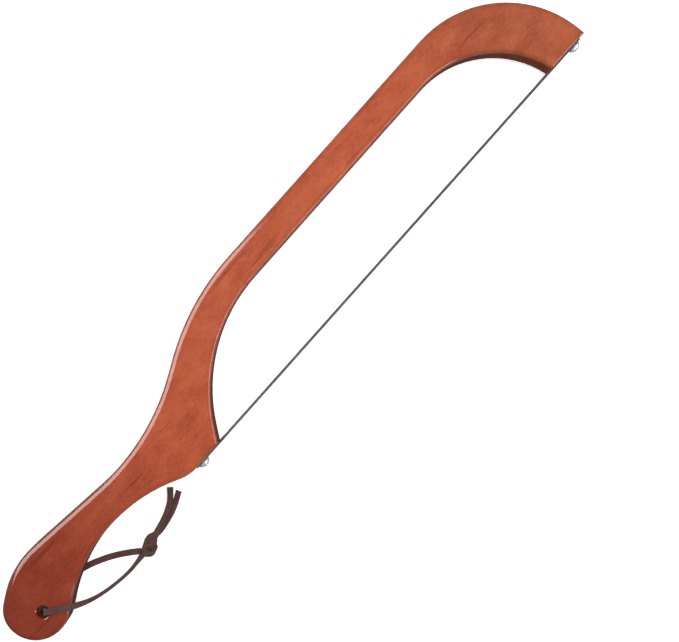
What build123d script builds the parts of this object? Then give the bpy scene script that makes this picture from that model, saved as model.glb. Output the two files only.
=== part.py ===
from build123d import *
import math
import os

# Bow bread knife, a bread saw with a thin scalloped blade stretched across a one-piece
# wooden bow, lying on its side with the teeth down. Millimetres.
#
# The drawing frame has X along the blade from the handle end to the far end, Y from the
# blade towards the bow's arm, Z up through the thickness of the board, and Z = 0 at the
# tooth tips. X = 0 is where the blade leaves its seat at the handle end, and Y = 0 is the
# plane of the two seats. to_row_frame() moves it all to the middle of the footprint.

# Driving dimensions
BOARD_THICKNESS = 19.0      # 3/4 in board
TOOTH_DROP = 2.0            # how far the tooth tips stand below the board's lower face
EDGE_ROUND = 3.0            # 1/8 in round-over on both faces
TIP_SEAT_ROUND = 2.0        # lighter round-over along the seat at the far end
ARM_OUTER_Y = 57.5          # outer edge of the straight arm above the blade
ARM_INNER_Y = 41.5          # inner edge of the arm
TIP_X = 270.9               # outer corner of the far end
HEEL_CORNER_X = -0.4        # inner corner of the seat at the handle end
TIP_CORNER_X = 246.9        # inner corner of the seat at the far end
HOLE_X = -119.4             # hang hole in the butt of the handle
HOLE_Y = 9.3
HOLE_RADIUS = 3.175         # 1/4 in drill
HOLE_EDGE_BREAK = 0.6
HOLE_DRILL_REACH = 40.0
SHAPING_MARGIN = 20.0       # how far the boards that shape the outline stand out beyond it
SHAPING_PROUD = 0.01        # and above its faces, so that their round-overs cross them cleanly
THROAT_MIDDLE_X = 120.0     # anywhere in the open throat
ON_LINE = 0.01

BLADE_THICKNESS = 0.89      # 0.035 in strip
BLADE_WIDTH = 12.7          # 1/2 in strip
BLADE_START_X = -17.5
BLADE_END_X = 269.5
BLADE_CORNER_ROUND = 1.5
TOOTH_PITCH = 4.8
TOOTH_COUNT = 50
FIRST_TOOTH_X = 4.4
TOOLS_REACH = 16.0          # length of the grinding wheel and of the punch for the holes
BEVEL_ANGLE = 18.0          # between the ground side and the blade's flat
GRIND_RADIUS = 8.0          # of the wheel that grinds each scallop
TOOTH_TIP = 0.04            # thickness left at each tooth's tip

HEEL_SCREW_X = -13.5
TIP_SCREW_X = 265.5
SCREW_Z = 8.0               # both screws sit on the blade's line of holes
SCREW_HEAD_RADIUS = 3.2
SCREW_HEAD_HEIGHT = 2.6
SCREW_HEAD_RIM = 0.7        # straight rim under the dome
SCREW_SHANK_RADIUS = 1.7
SCREW_LENGTH = 12.7         # 1/2 in under the head
SCREW_POINT = 3.0
BLADE_HOLE_RADIUS = 1.9
DRIVE_WIDTH = 0.9
DRIVE_LENGTH = 3.6
DRIVE_DEPTH = 1.4
HEEL_DRIVE_TURN = 20.0      # how far each screw's cross is turned, in degrees
TIP_DRIVE_TURN = 55.0

LACE_WIDTH = 3.2            # 1/8 in flat suede lace
LACE_THICKNESS = 1.5
LACE_HALF = LACE_THICKNESS / 2
FLOOR_GAP = 0.2             # under every stretch that lies on the table
LACE_GAP = 0.3              # between the lace and the board or lace it lies on
NO_TURN = 0.5               # degrees, under which a corner counts as straight
SIDE_REACH = 60.0           # half the breadth of the sheets that shape the lace from the side
ARC_SHARE = 0.45            # of the shorter run beside a corner that its arc may take

# Places that follow from those
BOARD_BOTTOM = TOOTH_DROP
BOARD_TOP = TOOTH_DROP + BOARD_THICKNESS
BOARD_MIDDLE = (BOARD_TOP + BOARD_BOTTOM) / 2
LACE_ON_WOOD = BOARD_TOP + LACE_GAP + LACE_HALF
LACE_ON_FLOOR = FLOOR_GAP + LACE_HALF
SCREW_SEAT_Y = -BLADE_THICKNESS
FOOTPRINT_LEFT_X = -137.0
FOOTPRINT_CENTRE_X = (TIP_X + FOOTPRINT_LEFT_X) / 2
FOOTPRINT_CENTRE_Y = (ARM_OUTER_Y + SCREW_SEAT_Y - SCREW_HEAD_HEIGHT) / 2

# The outline's corners before rounding, with the radius that rounds each one.
# Outer run: up the far end, over the arch, down the arm, round the butt, back to the seat.
OUTER_CORNERS = [
    (TIP_X, ARM_OUTER_Y, 57.4),             # arch
    (42.5, ARM_OUTER_Y, 125.0),             # shoulder above the handle
    (-22.3, 25.8, 115.0),                   # hollow behind the shoulder
    (-113.4, 36.2, 45.0),                   # back of the butt
    (FOOTPRINT_LEFT_X, 22.2, 14.4),         # end of the butt
    (FOOTPRINT_LEFT_X, -3.1, 16.6),
    (-115.4, -3.1, 16.0),
    (-68.3, 25.6, 82.0),                    # finger hollow under the handle
    (-21.6, 0, 20.0),                       # run-out into the seat
]
# Inner run: from the seat at the handle end, up the arm and round the throat.
INNER_CORNERS = [
    (30.2, ARM_INNER_Y, 85.0),
    (240.2, ARM_INNER_Y, 49.3),
]

# Routes of the lace, chosen by hand. Each is the middle of the flat lace.
KNOT_CENTRE = (-64.4, -9.0, 3.0)
KNOT_ANGLE = 24.0           # of the knot's long axis, from X
KNOT_SIZE = (11.6, 6.6, 5.6)
KNOT_ROUND = 2.2            # seen from above
KNOT_EDGE_ROUND = 1.5       # of its top and bottom edges
UPPER_ROUTE = [
    (HOLE_X, HOLE_Y, BOARD_MIDDLE),
    (HOLE_X, HOLE_Y, LACE_ON_WOOD),
    (-115.0, 6.2, LACE_ON_WOOD),
    (-107.4, 0.2, LACE_ON_WOOD),
    (-97.6, -6.3, 15.6),
    (-82.6, -10.2, 5.0),
    (-68.6, -9.5, 3.2),
]
LOWER_ROUTE = [
    (HOLE_X, HOLE_Y, BOARD_MIDDLE),
    (HOLE_X, HOLE_Y, LACE_ON_FLOOR),
    (-113.8, 10.4, LACE_ON_FLOOR),
    (-104.0, 10.4, LACE_ON_FLOOR),
    (-93.5, 8.0, LACE_ON_FLOOR),
    (-81.5, 1.8, LACE_ON_FLOOR),
    (-67.4, -9.0, 1.35),
]
OVER_TAIL_Z = LACE_ON_FLOOR + LACE_THICKNESS + LACE_GAP
TAIL_A_ROUTE = [
    (-60.4, -7.9, OVER_TAIL_Z),
    (-50.5, -5.9, OVER_TAIL_Z),
    (-43.6, -3.5, OVER_TAIL_Z),
    (-39.3, -0.9, 2.55),
    (-35.7, 2.9, 1.45),
]
TAIL_B_ROUTE = [
    (-60.4, -8.1, LACE_ON_FLOOR),
    (-50.4, -7.4, LACE_ON_FLOOR),
    (-41.8, -5.6, LACE_ON_FLOOR),
    (-34.2, -1.7, LACE_ON_FLOOR),
]


def points_of(corners):
    """The corners' places, without their radii."""
    return [(x, y) for x, y, _ in corners]


def radii_of(corners):
    return [radius for _, _, radius in corners]


def wall_foot(seat_corner_x, corner, depth):
    """Where the throat's straight wall from a corner through its seat corner reaches a depth below the seats."""
    x, y, _ = corner
    return (seat_corner_x - (x - seat_corner_x) * depth / y, -depth)


def rounded_board(run, closing, radius, proud=0.0):
    """A board whose outline is a run and its closing lines, rounded over on both faces along the run."""
    face = Plane.XY.offset(BOARD_BOTTOM - proud) * make_face([run, closing])
    board = extrude(face, BOARD_THICKNESS + 2 * proud)
    rims = []
    for edge in board.edges():
        middle = edge @ 0.5
        level = abs((edge @ 0).Z - (edge @ 1).Z) < ON_LINE
        if level and run.distance_to(Vector(middle.X, middle.Y, 0)) < ON_LINE:
            rims.append(edge)
    return fillet(rims, radius)


def make_bow_frame():
    """The one-piece wooden bow: board, round-over, seats, hang hole and pilot holes.

    The outer run, the throat and the seat at the far end are each rounded over on a board of
    their own. What the three have in common is the bow, with mitred round-overs at its corners.
    """
    left = FOOTPRINT_LEFT_X - SHAPING_MARGIN
    right = TIP_X + SHAPING_MARGIN
    far = ARM_OUTER_Y + SHAPING_MARGIN
    near = -SHAPING_MARGIN
    lowest = -2 * SHAPING_MARGIN

    outer_start, outer_end = (TIP_X, near), (THROAT_MIDDLE_X, 0)
    outer_run = FilletPolyline(
        outer_start, *points_of(OUTER_CORNERS), outer_end, radius=radii_of(OUTER_CORNERS)
    )
    outer_closing = Polyline(outer_end, (THROAT_MIDDLE_X, near), outer_start)

    throat_start = wall_foot(HEEL_CORNER_X, INNER_CORNERS[0], -lowest)
    throat_end = wall_foot(TIP_CORNER_X, INNER_CORNERS[-1], -lowest)
    throat_run = FilletPolyline(
        throat_start, *points_of(INNER_CORNERS), throat_end, radius=radii_of(INNER_CORNERS)
    )
    throat_closing = Polyline(
        throat_end, (right, lowest), (right, far), (left, far), (left, lowest), throat_start
    )

    seat_start, seat_end = (THROAT_MIDDLE_X, 0), (right, 0)
    seat_closing = Polyline(
        seat_end, (right, far), (left, far), (left, lowest), (THROAT_MIDDLE_X, lowest), seat_start
    )

    board = rounded_board(outer_run, outer_closing, EDGE_ROUND)
    board = board & rounded_board(throat_run, throat_closing, EDGE_ROUND, SHAPING_PROUD)
    board = board & rounded_board(Line(seat_start, seat_end), seat_closing, TIP_SEAT_ROUND, SHAPING_PROUD)

    hole = Pos(HOLE_X, HOLE_Y, BOARD_MIDDLE) * Cylinder(HOLE_RADIUS, HOLE_DRILL_REACH)
    board = board - hole
    hole_rims = board.edges().filter_by(GeomType.CIRCLE).filter_by(
        lambda edge: abs(edge.radius - HOLE_RADIUS) < ON_LINE and edge.is_closed
    )
    board = chamfer(hole_rims, HOLE_EDGE_BREAK)
    for screw_x in (HEEL_SCREW_X, TIP_SCREW_X):
        board = board - screw_body(screw_x)
    return board


def make_blade():
    """A thin steel strip with round screw holes and scallops ground from one side."""
    length = BLADE_END_X - BLADE_START_X
    middle = Pos((BLADE_END_X + BLADE_START_X) / 2, -BLADE_THICKNESS / 2, BLADE_WIDTH / 2)
    strip = middle * Box(length, BLADE_THICKNESS, BLADE_WIDTH)
    strip = fillet(strip.edges().filter_by(Axis.Y), BLADE_CORNER_ROUND)
    for screw_x in (HEEL_SCREW_X, TIP_SCREW_X):
        strip = strip - Pos(screw_x, 0, SCREW_Z) * Rot(90, 0, 0) * Cylinder(BLADE_HOLE_RADIUS, TOOLS_REACH)
    # The wheel's axis leans over the strip. It cuts through between the tips and leaves them thin.
    scallop_depth = GRIND_RADIUS - math.sqrt(GRIND_RADIUS**2 - (TOOTH_PITCH / 2)**2)
    wheel_y = scallop_depth - TOOTH_TIP - GRIND_RADIUS
    wheel = Rot(BEVEL_ANGLE, 0, 0) * Pos(0, wheel_y, 0) * Cylinder(GRIND_RADIUS, TOOLS_REACH)
    wheels = [Pos(FIRST_TOOTH_X + i * TOOTH_PITCH, 0, 0) * wheel for i in range(TOOTH_COUNT)]
    return strip - wheels


def screw_body(screw_x):
    """Dome head, shank and point as one solid of revolution about the screw's axis."""
    dome_rise = SCREW_HEAD_HEIGHT - SCREW_HEAD_RIM
    rim_start = (SCREW_HEAD_RADIUS, 0)
    rim_end = (SCREW_HEAD_RADIUS, -SCREW_HEAD_RIM)
    crown = (0, -SCREW_HEAD_HEIGHT)
    dome_radius = (SCREW_HEAD_RADIUS**2 + dome_rise**2) / (2 * dome_rise)
    half_turn = math.asin(SCREW_HEAD_RADIUS / dome_radius) / 2
    shoulder = (
        dome_radius * math.sin(half_turn),
        -SCREW_HEAD_HEIGHT + dome_radius * (1 - math.cos(half_turn)),
    )
    profile = make_face([
        Line((0, SCREW_LENGTH), (SCREW_SHANK_RADIUS, SCREW_LENGTH - SCREW_POINT)),
        Line((SCREW_SHANK_RADIUS, SCREW_LENGTH - SCREW_POINT), (SCREW_SHANK_RADIUS, 0)),
        Line((SCREW_SHANK_RADIUS, 0), rim_start),
        Line(rim_start, rim_end),
        ThreePointArc(rim_end, shoulder, crown),
        Line(crown, (0, SCREW_LENGTH)),
    ])
    return Pos(screw_x, SCREW_SEAT_Y, SCREW_Z) * revolve(profile, Axis.Y)


def make_screw(screw_x, drive_turn):
    """A small dome-head wood screw with a cross recess, its head on the blade's outer side."""
    bar = Box(DRIVE_LENGTH, 2 * DRIVE_DEPTH, DRIVE_WIDTH)
    cross = bar + Rot(0, 90, 0) * bar
    crown_y = SCREW_SEAT_Y - SCREW_HEAD_HEIGHT
    recess = Pos(screw_x, crown_y, SCREW_Z) * Rot(0, drive_turn, 0) * cross
    return screw_body(screw_x) - recess


def corner_turn(before, corner, after):
    """The turn at a corner in degrees."""
    return (Vector(*corner) - Vector(*before)).get_angle(Vector(*after) - Vector(*corner))


def route_radii(route):
    """The largest arc that each corner of a route has room for."""
    radii = []
    for before, corner, after in zip(route, route[1:], route[2:]):
        half_turn = math.radians(corner_turn(before, corner, after)) / 2
        shorter_run = min(math.dist(before, corner), math.dist(corner, after))
        radii.append(ARC_SHARE * shorter_run / math.tan(half_turn))
    return radii


def flat_line(points):
    """One view of a route as straight runs and tangent arcs, passing over points that don't turn in it."""
    turning = [
        i for i in range(1, len(points) - 1)
        if corner_turn(points[i - 1], points[i], points[i + 1]) > NO_TURN
    ]
    if not turning:
        return Line(points[0], points[-1])
    radii = [route_radii(points[i - 1:i + 2])[0] for i in turning]
    corners = [points[i] for i in turning]
    return FilletPolyline(points[0], *corners, points[-1], radius=radii)


def make_lace(name, route):
    """A flat lace along a route: its plan, as wide as the lace, cut by its side view, as thick.

    The routes only ever run towards +X, so each is single in both views. A first run that
    stands upright in the hole is a point in the plan, which then starts just behind it.
    """
    plan = [(x, y) for x, y, _ in route]
    side = [(x, z) for x, _, z in route]
    if plan[0] == plan[1]:
        back = (Vector(*plan[1]) - Vector(*plan[2])).normalized() * LACE_WIDTH / 2
        plan = [(plan[1][0] + back.X, plan[1][1] + back.Y)] + plan[2:]
    tallest = max(z for _, z in side) + LACE_WIDTH
    plan_solid = extrude(Plane.XY.offset(-LACE_WIDTH) * trace(flat_line(plan), LACE_WIDTH), 2 * tallest)
    side_sheet = Plane.XZ.offset(-SIDE_REACH) * trace(flat_line(side), LACE_THICKNESS)
    lace = plan_solid & extrude(side_sheet, 2 * SIDE_REACH)
    length = FilletPolyline(*route, radius=route_radii(route)).length
    print(
        f"{name}: length {length:.1f}, volume {lace.volume:.0f} against"
        f" {length * LACE_WIDTH * LACE_THICKNESS:.0f}, radii",
        [round(radius, 1) for radius in route_radii(route)],
    )
    return lace


def make_knot():
    """The outer shape of the overhand knot that both strands are tied in."""
    block = Box(*KNOT_SIZE)
    block = fillet(block.edges().filter_by(Axis.Z), KNOT_ROUND)
    block = fillet(block.edges().filter_by(Axis.Z, reverse=True), KNOT_EDGE_ROUND)
    return Pos(*KNOT_CENTRE) * Rot(0, 0, KNOT_ANGLE) * block


def to_row_frame(shape):
    return Pos(-FOOTPRINT_CENTRE_X, -FOOTPRINT_CENTRE_Y, 0) * shape


def main():
    os.makedirs("parts", exist_ok=True)
    nodes = {
        "bow_frame": make_bow_frame(),
        "blade": make_blade(),
        "heel_screw": make_screw(HEEL_SCREW_X, HEEL_DRIVE_TURN),
        "tip_screw": make_screw(TIP_SCREW_X, TIP_DRIVE_TURN),
        "lanyard_upper_strand": make_lace("upper strand", UPPER_ROUTE),
        "lanyard_lower_strand": make_lace("lower strand", LOWER_ROUTE),
        "lanyard_knot": make_knot(),
        "lanyard_tail_a": make_lace("tail a", TAIL_A_ROUTE),
        "lanyard_tail_b": make_lace("tail b", TAIL_B_ROUTE),
    }
    for name, shape in nodes.items():
        export_step(to_row_frame(shape), f"parts/{name}.step")


main()
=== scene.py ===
import math

import bmesh
import bpy
from mathutils import Matrix, Vector


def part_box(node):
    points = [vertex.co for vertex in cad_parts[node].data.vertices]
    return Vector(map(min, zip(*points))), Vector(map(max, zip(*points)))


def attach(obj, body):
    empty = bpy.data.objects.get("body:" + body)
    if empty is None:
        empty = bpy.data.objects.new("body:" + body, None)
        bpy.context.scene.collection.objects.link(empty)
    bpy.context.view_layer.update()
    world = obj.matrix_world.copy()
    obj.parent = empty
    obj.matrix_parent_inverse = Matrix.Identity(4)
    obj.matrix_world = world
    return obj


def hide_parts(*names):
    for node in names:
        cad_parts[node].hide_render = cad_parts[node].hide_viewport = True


# Bow bread knife lying on a pale table, seen from almost straight above. Metres, in the row frame.
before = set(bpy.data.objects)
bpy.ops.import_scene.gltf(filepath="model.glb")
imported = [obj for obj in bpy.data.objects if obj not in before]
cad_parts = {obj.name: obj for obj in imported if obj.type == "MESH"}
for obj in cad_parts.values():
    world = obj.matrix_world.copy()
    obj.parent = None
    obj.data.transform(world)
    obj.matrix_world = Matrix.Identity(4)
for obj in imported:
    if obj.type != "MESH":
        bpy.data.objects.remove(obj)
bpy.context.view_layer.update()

MM = 0.001
BOARD_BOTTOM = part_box("bow_frame")[0].z
BOARD_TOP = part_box("bow_frame")[1].z

# The part's drawing frame has its origin where the blade leaves the handle's seat.
DRAWING_ORIGIN = Vector((-66.95, -27.005, 0)) * MM


def place(x, y, z):
    """A place in the drawing frame, in millimetres, as metres in the row frame."""
    return DRAWING_ORIGIN + Vector((x, y, z)) * MM


# ---------------------------------------------------------------- camera

CAMERA_FOOT = (86.8, 23.6)              # the place on the board that is straight under the lens
CAMERA_HEIGHT = 580 * MM                # above the board's top face
CAMERA_AIM = (84.67, -4.30)             # the place on the board in the middle of the picture
PICTURE_UP = math.radians(41.73)        # the picture's upward direction, from X
LENS = 62.65
SENSOR_WIDTH = 36
CLIP_START = 0.05
CLIP_END = 20


def make_camera():
    data = bpy.data.cameras.new("camera")
    data.lens = LENS
    data.sensor_width = SENSOR_WIDTH
    data.clip_start = CLIP_START
    data.clip_end = CLIP_END
    camera = bpy.data.objects.new("camera", data)
    bpy.context.scene.collection.objects.link(camera)
    board_top = BOARD_TOP / MM
    eye = place(*CAMERA_FOOT, board_top) + Vector((0, 0, CAMERA_HEIGHT))
    forward = (place(*CAMERA_AIM, board_top) - eye).normalized()
    right = forward.cross(Vector((math.cos(PICTURE_UP), math.sin(PICTURE_UP), 0))).normalized()
    up = right.cross(forward)
    turn = Matrix((right, up, -forward)).transposed()
    camera.matrix_world = Matrix.Translation(eye) @ turn.to_4x4()
    bpy.context.scene.camera = camera


# ---------------------------------------------------------------- lanyard

LACE_WIDTH = 3.2 * MM
LACE_THICKNESS = 1.5 * MM
SECTION_POINTS = 20
SQUARENESS_ACROSS = 0.45     # of the section: 1 is round, towards 0 is square
SQUARENESS_THROUGH = 0.55
FACING_REACH = 2            # from the middle of the lace to the point that says how it faces
HOLE = (-119.4, 9.3)
BOARD_MIDDLE_Z = 11.5
LACE_ON_WOOD = 22.05
LACE_ON_FLOOR = 0.95
OVER_TAIL_Z = 2.75
SAMPLES_PER_SPAN = 10
UPPER_LENGTH = 0.139
LOWER_LENGTH = 0.131

# Each point is the middle of the lace and the way that its flat side faces there.
UP = (0, 0, 1)
DOWN = (0, 0, -1)
UPPER_ROUTE = [
    ((*HOLE, BOARD_MIDDLE_Z), (-0.6, 0.8, 0)),
    ((*HOLE, LACE_ON_WOOD), (-0.6, 0.8, 0.6)),
    ((-115.0, 6.2, LACE_ON_WOOD), UP),
    ((-107.4, 0.2, LACE_ON_WOOD), (0.3, 0.5, 0.8)),
    ((-97.6, -6.3, 15.6), (0.4, 0.9, 0.1)),
    ((-82.6, -10.2, 5.0), (0.1, 1, 0.1)),
    ((-73.6, -9.8, 3.2), (0.1, 0.9, 0.3)),
]
LOWER_ROUTE = [
    ((*HOLE, BOARD_MIDDLE_Z), (-0.6, 0.8, 0)),
    ((*HOLE, LACE_ON_FLOOR), (-0.6, 0.8, -0.5)),
    ((-113.8, 10.4, LACE_ON_FLOOR), DOWN),
    ((-104.0, 10.4, LACE_ON_FLOOR), DOWN),
    ((-93.5, 8.0, LACE_ON_FLOOR), DOWN),
    ((-81.5, 1.8, LACE_ON_FLOOR), DOWN),
    ((-72.2, -5.4, 1.35), DOWN),
]
TAIL_A_ROUTE = [
    ((-57.4, -7.3, OVER_TAIL_Z), (0, 0.4, -0.9)),
    ((-50.5, -5.9, OVER_TAIL_Z), (0, 0.5, -0.8)),
    ((-43.6, -3.5, OVER_TAIL_Z), (0, 0.5, -0.8)),
    ((-39.3, -0.9, 2.55), (0, 0.3, -0.9)),
    ((-35.7, 2.9, 1.45), (0, 0, -1)),
]
TAIL_B_ROUTE = [
    ((-57.0, -8.2, 1.3), (0, -0.3, -0.9)),
    ((-50.4, -7.4, 1.3), (0, -0.4, -0.9)),
    ((-41.8, -5.6, 1.3), (0, -0.5, -0.8)),
    ((-34.2, -1.7, 1.3), (0, -0.5, -0.8)),
]

# The overhand knot that both laces are tied in together, in its own frame: u along it towards
# the tails, v to the left of that, w up. The two laces lie side by side through it.
KNOT_CENTRE = (-64.4, -9.0, 3.0)
KNOT_ANGLE = math.radians(24)
KNOT_STACK = 0.75           # each lace's offset from the pair's middle, the way its flat side faces
KNOT_SPREAD = 0.7           # and across it
KNOT_ROUTE = [
    ((-3.2, 0.5, -1.2), (0, 0, 1)),
    ((-0.6, 0.0, 0.6), (-0.2, 0, 1)),
    ((2.0, -1.2, 1.4), (0, -0.3, 1)),
    ((4.2, -1.6, 0.4), (0.6, -0.6, 0.4)),
    ((5.0, 0.4, -0.8), (1, 0.2, 0)),
    ((3.6, 1.7, -0.8), (0.5, 0.9, 0)),
    ((0.6, 1.9, -0.2), (0, 1, 0.3)),
    ((-2.6, 2.0, 1.0), (-0.3, 0.7, 0.7)),
    ((-4.1, 0.6, 2.0), (-0.3, 0.1, 1)),
    ((-3.9, -1.9, 1.4), (-0.4, -0.5, 0.7)),
    ((-2.2, -2.8, 0.0), (0, -1, -0.1)),
    ((-0.4, -1.9, -0.9), (0, -0.3, -1)),
    ((0.8, 0.4, -1.0), (0, 0, -1)),
    ((2.0, 1.4, -0.2), (0.4, 0, -0.9)),
    ((3.8, 0.4, 1.5), (0, 0, -1)),
    ((5.8, -0.8, 1.2), (0.3, 0, -1)),
]


def knot_place(u, v, w):
    """A direction in the knot's frame as one in the drawing frame."""
    cos, sin = math.cos(KNOT_ANGLE), math.sin(KNOT_ANGLE)
    return Vector((u * cos - v * sin, u * sin + v * cos, w))


def knot_route(side):
    """One lace's route through the knot; side is 1 for the outer lace and -1 for the inner."""
    middles = [Vector(point) for point, _ in KNOT_ROUTE]
    route = []
    for i, (point, facing) in enumerate(KNOT_ROUTE):
        ahead = middles[min(i + 1, len(middles) - 1)] - middles[max(i - 1, 0)]
        facing = Vector(facing).normalized()
        across = facing.cross(ahead).normalized()
        moved = Vector(point) + side * (facing * KNOT_STACK + across * KNOT_SPREAD)
        route.append((Vector(KNOT_CENTRE) + knot_place(*moved), knot_place(*facing)))
    return route


def spline_points(name, points):
    """Points along the smooth line that has these control points."""
    curve = bpy.data.curves.new(name, "CURVE")
    curve.dimensions = "3D"
    curve.resolution_u = SAMPLES_PER_SPAN
    spline = curve.splines.new("NURBS")
    spline.points.add(len(points) - 1)
    for control, point in zip(spline.points, points):
        control.co = (*point, 1)
    spline.order_u = 3
    spline.use_endpoint_u = True
    holder = bpy.data.objects.new(name, curve)
    bpy.context.scene.collection.objects.link(holder)
    line = bpy.data.meshes.new_from_object(holder)
    found = [vertex.co.copy() for vertex in line.vertices]
    bpy.data.objects.remove(holder)
    bpy.data.curves.remove(curve)
    bpy.data.meshes.remove(line)
    return found


def lace_section():
    """The lace's cross-section: a flat strip with soft edges, (across, through) in fractions of its size."""
    points = []
    for i in range(SECTION_POINTS):
        angle = 2 * math.pi * i / SECTION_POINTS
        across, through = math.cos(angle), math.sin(angle)
        points.append((
            math.copysign(abs(across) ** SQUARENESS_ACROSS, across) / 2,
            math.copysign(abs(through) ** SQUARENESS_THROUGH, through) / 2,
        ))
    return points


def make_lace(name, route):
    """A flat lace along a route, as a closed mesh with square-cut ends, and its centre line."""
    centres = spline_points(name + "_line", [place(*point) for point, _ in route])
    facings = spline_points(name + "_face", [
        place(*(Vector(point) + Vector(facing).normalized() * FACING_REACH)) for point, facing in route
    ])
    section = lace_section()
    mesh = bmesh.new()
    rings = []
    for i, centre in enumerate(centres):
        ahead = (centres[min(i + 1, len(centres) - 1)] - centres[max(i - 1, 0)]).normalized()
        facing = facings[i] - centre
        facing = (facing - ahead * facing.dot(ahead)).normalized()
        across = facing.cross(ahead)
        rings.append([
            mesh.verts.new(centre + across * (a * LACE_WIDTH) + facing * (t * LACE_THICKNESS))
            for a, t in section
        ])
    for ring, following in zip(rings, rings[1:]):
        for j in range(len(section)):
            k = (j + 1) % len(section)
            mesh.faces.new((ring[j], ring[k], following[k], following[j]))
    mesh.faces.new(rings[0][::-1])
    mesh.faces.new(rings[-1])
    bmesh.ops.recalc_face_normals(mesh, faces=mesh.faces)
    data = bpy.data.meshes.new(name)
    mesh.to_mesh(data)
    mesh.free()
    data.shade_smooth()
    piece = bpy.data.objects.new(name, data)
    bpy.context.scene.collection.objects.link(piece)
    return piece, centres


def line_length(points):
    return sum((b - a).length for a, b in zip(points, points[1:]))


def make_lanyard(suede):
    upper, upper_line = make_lace("lanyard_lace_upper", UPPER_ROUTE + knot_route(1) + TAIL_A_ROUTE)
    lower, lower_line = make_lace("lanyard_lace_lower", LOWER_ROUTE + knot_route(-1) + TAIL_B_ROUTE)
    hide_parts("lanyard_upper_strand", "lanyard_knot", "lanyard_tail_a")
    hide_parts("lanyard_lower_strand", "lanyard_tail_b")
    for piece, line, mouth, length in (
        (upper, upper_line, BOARD_TOP, UPPER_LENGTH),
        (lower, lower_line, BOARD_BOTTOM, LOWER_LENGTH),
    ):
        piece.data.materials.append(suede)
        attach(piece, "lanyard")
        print(piece.name, "line length", round(line_length(line) / MM, 1))


# ---------------------------------------------------------------- materials

class Nodes:
    """Short names for the making of one node material."""

    def __init__(self, name):
        self.material = bpy.data.materials.new(name)
        self.material.use_nodes = True
        self.tree = self.material.node_tree
        self.shader = self.tree.nodes["Principled BSDF"]

    def new(self, kind, **settings):
        node = self.tree.nodes.new(kind)
        for key, value in settings.items():
            setattr(node, key, value)
        return node

    def link(self, start, end):
        self.tree.links.new(start, end)

    def feed(self, value, socket):
        """Links an output to this socket, or sets the socket to a colour or a number."""
        if hasattr(value, "is_linked"):
            self.link(value, socket)
        elif hasattr(value, "__len__"):
            socket.default_value = (*value, 1)
        else:
            socket.default_value = value

    def coordinates(self, stretch):
        """Object coordinates with each axis multiplied, so a small factor draws the pattern out along it."""
        where = self.new("ShaderNodeTexCoord")
        mapping = self.new("ShaderNodeMapping")
        mapping.inputs["Scale"].default_value = stretch
        self.link(where.outputs["Object"], mapping.inputs["Vector"])
        return mapping.outputs["Vector"]

    def along_x(self, start, end):
        """A number that goes from 0 to 1 between two places along the object."""
        where = self.new("ShaderNodeTexCoord")
        parts = self.new("ShaderNodeSeparateXYZ")
        self.link(where.outputs["Object"], parts.inputs[0])
        between = self.new("ShaderNodeMapRange")
        between.inputs["From Min"].default_value = start
        between.inputs["From Max"].default_value = end
        self.link(parts.outputs["X"], between.inputs["Value"])
        return between.outputs["Result"]

    def noise(self, vector, scale, detail=4.0, roughness=0.55, distortion=0.0):
        node = self.new("ShaderNodeTexNoise")
        node.inputs["Scale"].default_value = scale
        node.inputs["Detail"].default_value = detail
        node.inputs["Roughness"].default_value = roughness
        node.inputs["Distortion"].default_value = distortion
        self.link(vector, node.inputs["Vector"])
        return node.outputs["Fac"]

    def ramp(self, value, *stops):
        """A colour ramp of (position, colour) stops, on a grey number."""
        node = self.new("ShaderNodeValToRGB")
        elements = node.color_ramp.elements
        while len(elements) < len(stops):
            elements.new(0.5)
        for element, (position, colour) in zip(elements, stops):
            element.position = position
            element.color = (*colour, 1) if hasattr(colour, "__len__") else (colour, colour, colour, 1)
        self.link(value, node.inputs["Fac"])
        return node.outputs["Color"]

    def mix(self, factor, first, second, blend="MIX"):
        node = self.new("ShaderNodeMix", data_type="RGBA", blend_type=blend)
        self.feed(factor, node.inputs[0])
        self.feed(first, node.inputs[6])
        self.feed(second, node.inputs[7])
        return node.outputs[2]

    def math(self, operation, first, second):
        node = self.new("ShaderNodeMath", operation=operation)
        self.feed(first, node.inputs[0])
        self.feed(second, node.inputs[1])
        return node.outputs[0]

    def bump(self, height, distance):
        node = self.new("ShaderNodeBump")
        node.inputs["Distance"].default_value = distance
        node.inputs["Strength"].default_value = 1.0
        self.link(height, node.inputs["Height"])
        self.link(node.outputs["Normal"], self.shader.inputs["Normal"])

    def set(self, **values):
        for key, value in values.items():
            self.feed(value, self.shader.inputs[key.replace("_", " ")])


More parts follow.
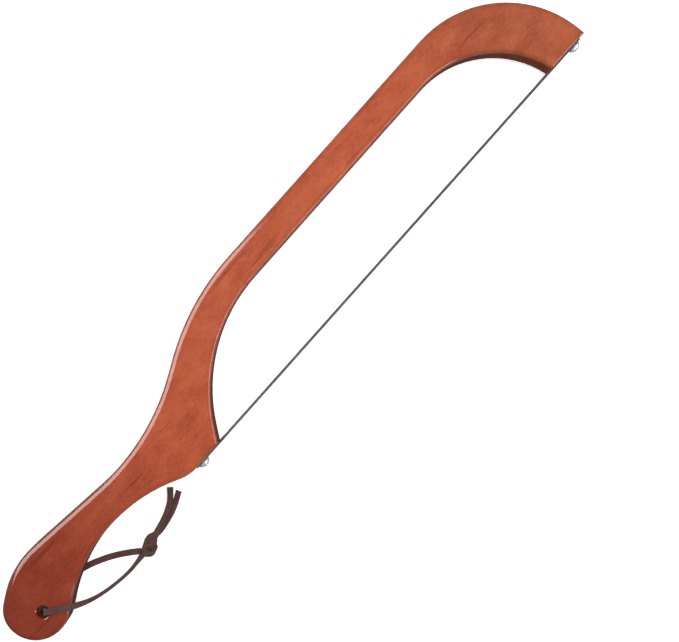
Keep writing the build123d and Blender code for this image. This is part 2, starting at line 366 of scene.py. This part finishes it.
def wood_material():
    """Red-brown mahogany under a satin lacquer: soft mottling, thin dark streaks along the grain, and
    painted shade that darkens the butt end.
    """
    n = Nodes("mahogany")
    bands = n.noise(n.coordinates((0.15, 1, 1)), 55, detail=3, distortion=0.6)
    mottle = n.noise(n.coordinates((0.6, 1, 1)), 130, detail=5, roughness=0.6)
    speckle = n.noise(n.coordinates((0.5, 1, 1)), 800, detail=3, roughness=0.6)
    streaks = n.noise(n.coordinates((0.07, 1, 1)), 330, detail=2, roughness=0.4)
    streak_spots = n.noise(n.coordinates((0.6, 1, 1)), 38, detail=2)
    pores = n.noise(n.coordinates((0.09, 1, 1)), 2200, detail=2, roughness=0.5)
    base = n.ramp(
        bands,
        (0.30, (0.44, 0.078, 0.030)),
        (0.50, (0.53, 0.104, 0.042)),
        (0.70, (0.60, 0.128, 0.054)),
    )
    base = n.mix(0.6, base, n.ramp(mottle, (0.32, (0.36, 0.058, 0.022)), (0.68, (0.68, 0.150, 0.064))))
    base = n.mix(0.22, base, n.ramp(speckle, (0.36, (0.36, 0.060, 0.022)), (0.64, (0.68, 0.150, 0.064))))
    streak_mask = n.math(
        "MULTIPLY", n.ramp(streaks, (0.60, 0.0), (0.70, 1.0)), n.ramp(streak_spots, (0.42, 0.0), (0.58, 0.5))
    )
    base = n.mix(streak_mask, base, (0.20, 0.024, 0.010))
    pore_mask = n.ramp(pores, (0.62, 0.0), (0.70, 1.0))
    base = n.mix(n.math("MULTIPLY", pore_mask, 0.25), base, (0.20, 0.026, 0.010))
    # Painted shade: this ramp darkens the colour towards the butt end in place of light falling off there.
    # Near the tip end it makes the colour a little less red.
    painted_shade_along_x = n.ramp(
        n.along_x(-0.20, 0.20),
        (0.00, (0.50, 0.37, 0.42)),
        (0.10, (0.64, 0.49, 0.49)),
        (0.22, (0.87, 0.82, 0.86)),
        (0.30, (1.00, 1.00, 1.00)),
        (0.80, (1.00, 1.00, 1.00)),
        (0.93, (0.87, 0.98, 1.00)),
    )
    base = n.mix(1.0, base, painted_shade_along_x, blend="MULTIPLY")
    n.set(
        Base_Color=base, Roughness=0.6, Coat_Weight=0.9, Coat_Roughness=0.10,
        Coat_IOR=1.5, Specular_IOR_Level=0.0,
    )
    n.bump(n.math("MULTIPLY", pore_mask, -1.0), 0.02 * MM)
    return n.material


def blade_material():
    """Ground spring steel: brushed along the strip, a little darkened."""
    n = Nodes("spring_steel")
    brush = n.noise(n.coordinates((0.02, 1, 1)), 3000, detail=3)
    smoke = n.noise(n.coordinates((0.3, 1, 1)), 60, detail=4)
    n.set(
        Base_Color=n.ramp(smoke, (0.3, (0.26, 0.27, 0.28)), (0.7, (0.38, 0.39, 0.40))),
        Metallic=1.0,
        Roughness=n.ramp(brush, (0.3, 0.24), (0.7, 0.42)),
    )
    n.bump(brush, 0.004 * MM)
    return n.material


def screw_material():
    """Bright nickel plate with fine wear."""
    n = Nodes("nickel_plate")
    wear = n.noise(n.coordinates((1, 1, 1)), 900, detail=4)
    n.set(
        Base_Color=n.ramp(wear, (0.35, (0.80, 0.79, 0.78)), (0.7, (0.94, 0.93, 0.92))),
        Metallic=0.6,
        Roughness=n.ramp(wear, (0.3, 0.16), (0.7, 0.30)),
    )
    n.bump(wear, 0.006 * MM)
    return n.material


def suede_material():
    """Dark brown suede: a napped surface, worn lighter in places."""
    n = Nodes("suede")
    where = n.coordinates((1, 1, 1))
    nap = n.noise(where, 2600, detail=5, roughness=0.7)
    patch = n.noise(where, 220, detail=4, roughness=0.6)
    colour = n.ramp(patch, (0.32, (0.060, 0.028, 0.026)), (0.68, (0.135, 0.066, 0.056)))
    colour = n.mix(0.4, colour, n.ramp(nap, (0.3, (0.035, 0.016, 0.015)), (0.7, (0.20, 0.105, 0.09))))
    n.set(Base_Color=colour, Roughness=0.95, Sheen_Weight=0.15, Sheen_Roughness=0.5, Specular_IOR_Level=0.2)
    n.bump(nap, 0.12 * MM)
    return n.material


def paint(node, material):
    """Gives a CAD node this material all over."""
    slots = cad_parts[node].material_slots
    if not slots:
        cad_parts[node].data.materials.append(material)
    for one in slots:
        one.material = material


# ---------------------------------------------------------------- stage

FLOOR_HALF = 6.0
FLOOR_GLOW = 0.6
ROOM_BRIGHTNESS = 0.24                  # above the table
BELOW_BRIGHTNESS = (0.04, 0.50)         # below it: straight down, and out to both sides
BELOW_SIDE = (0.25, 0.60)               # where sideways that change begins and ends
HORIZON = (-0.08, 0.12)                 # the blend from below the table to above it


def make_floor():
    """A pale table top. It isn't mirrored in the object and casts no light on it, so the walls stay dark."""
    data = bpy.data.meshes.new("floor")
    corners = [(-1, -1), (1, -1), (1, 1), (-1, 1)]
    data.from_pydata([(x * FLOOR_HALF, y * FLOOR_HALF, 0) for x, y in corners], [], [(0, 1, 2, 3)])
    floor = bpy.data.objects.new("floor", data)
    bpy.context.scene.collection.objects.link(floor)
    n = Nodes("pale_floor")
    n.set(Base_Color=(0.93, 0.93, 0.93), Roughness=0.9, Specular_IOR_Level=0.1)
    n.shader.inputs["Emission Color"].default_value = (1, 1, 1, 1)
    n.shader.inputs["Emission Strength"].default_value = FLOOR_GLOW
    data.materials.append(n.material)
    floor.visible_glossy = False
    floor.visible_diffuse = False


def add_light(name, spot, size, brightness, aim, turn=0.0):
    """A soft rectangular light at spot, facing aim, of this brightness all over it."""
    data = bpy.data.lights.new(name, "AREA")
    data.shape = "RECTANGLE"
    data.size, data.size_y = size
    data.energy = brightness * math.pi * size[0] * size[1]
    light = bpy.data.objects.new(name, data)
    bpy.context.scene.collection.objects.link(light)
    facing = (Vector(aim) - Vector(spot)).normalized()
    long_way = Vector((math.cos(turn), math.sin(turn), 0))
    side = facing.cross(long_way).normalized()
    matrix = Matrix((side, side.cross(facing), -facing)).transposed()
    light.matrix_world = Matrix.Translation(spot) @ matrix.to_4x4()
    light.visible_camera = False
    return light


def make_world():
    """A dim grey room; below the table it is dark straight down and bright out to both sides."""
    world = bpy.data.worlds.new("studio")
    bpy.context.scene.world = world
    world.use_nodes = True
    tree = world.node_tree
    where = tree.nodes.new("ShaderNodeTexCoord")
    parts = tree.nodes.new("ShaderNodeSeparateXYZ")
    aside = tree.nodes.new("ShaderNodeMath")
    aside.operation = "ABSOLUTE"
    below = tree.nodes.new("ShaderNodeMapRange")
    below.inputs["From Min"].default_value, below.inputs["From Max"].default_value = BELOW_SIDE
    below.inputs["To Min"].default_value, below.inputs["To Max"].default_value = BELOW_BRIGHTNESS
    height = tree.nodes.new("ShaderNodeMapRange")
    height.inputs["From Min"].default_value, height.inputs["From Max"].default_value = HORIZON
    room = tree.nodes.new("ShaderNodeMix")
    room.inputs[3].default_value = ROOM_BRIGHTNESS
    tree.links.new(where.outputs["Generated"], parts.inputs[0])
    tree.links.new(parts.outputs["Y"], aside.inputs[0])
    tree.links.new(aside.outputs[0], below.inputs["Value"])
    tree.links.new(parts.outputs["Z"], height.inputs["Value"])
    tree.links.new(height.outputs["Result"], room.inputs[0])
    tree.links.new(below.outputs["Result"], room.inputs[2])
    tree.links.new(room.outputs[0], tree.nodes["Background"].inputs["Strength"])
    tree.nodes["Background"].inputs["Color"].default_value = (1, 1, 1, 1)


def make_lights():
    """The overhead light gives no mirror image, and the two softboxes give nothing else."""
    key = add_light("overhead", (0.20, 0.0, 1.0), (0.7, 0.7), 5.4, (0.04, 0, 0))
    key.visible_glossy = False
    left = add_light("left_softbox", (-0.22, 0.43, 0.31), (0.66, 0.50), 7.5, (-0.12, 0.0, 0))
    left.visible_diffuse = False
    turn = math.radians(25)
    right = add_light("right_softbox", (0.38, -0.68, 0.10), (0.16, 1.0), 8.0, (0, 0, 0.02), turn)
    right.visible_diffuse = False


# ---------------------------------------------------------------- everything

bpy.context.scene.view_settings.view_transform = "Standard"
make_camera()
make_lanyard(suede_material())
paint("bow_frame", wood_material())
paint("blade", blade_material())
nickel = screw_material()
paint("heel_screw", nickel)
paint("tip_screw", nickel)
make_floor()
make_world()
make_lights()
